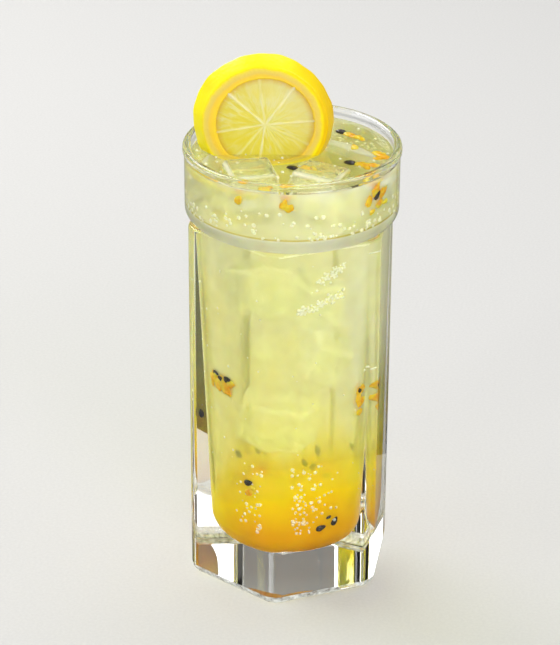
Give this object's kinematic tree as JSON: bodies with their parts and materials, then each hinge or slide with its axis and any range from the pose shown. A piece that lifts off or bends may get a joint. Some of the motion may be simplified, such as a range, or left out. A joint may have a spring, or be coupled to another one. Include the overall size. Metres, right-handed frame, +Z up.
{
  "type": "glass of fruit ade",
  "caption": "Tall six-sided glass with a round collar, filled with pale lemon ade over a settled orange fruit layer, with ice and a lemon slice standing at the rim.",
  "frame": {"origin": "centre of the glass's foot, on the surface it stands on", "axes": "+Z up along the glass's axis, one corner of the hexagonal body towards -Y, flats towards +X and -X, the lemon slice's cut face towards -Y"},
  "size_m": [0.076, 0.076, 0.1964],
  "materials": {
    "clear_glass": "clear, fire-polished",
    "ade": "slightly cloudy liquid",
    "fruit_pulp": "cloudy liquid with pulp",
    "lemon": "moist cut fruit",
    "ice": "wet, melting ice"
  },
  "bodies": {
    "root": {"glass": "clear_glass", "drink": "ade", "pulp_layer": "fruit_pulp", "lemon_slice": "lemon", "ice_left": "ice", "ice_right": "ice"}
  },
  "joints": []
}
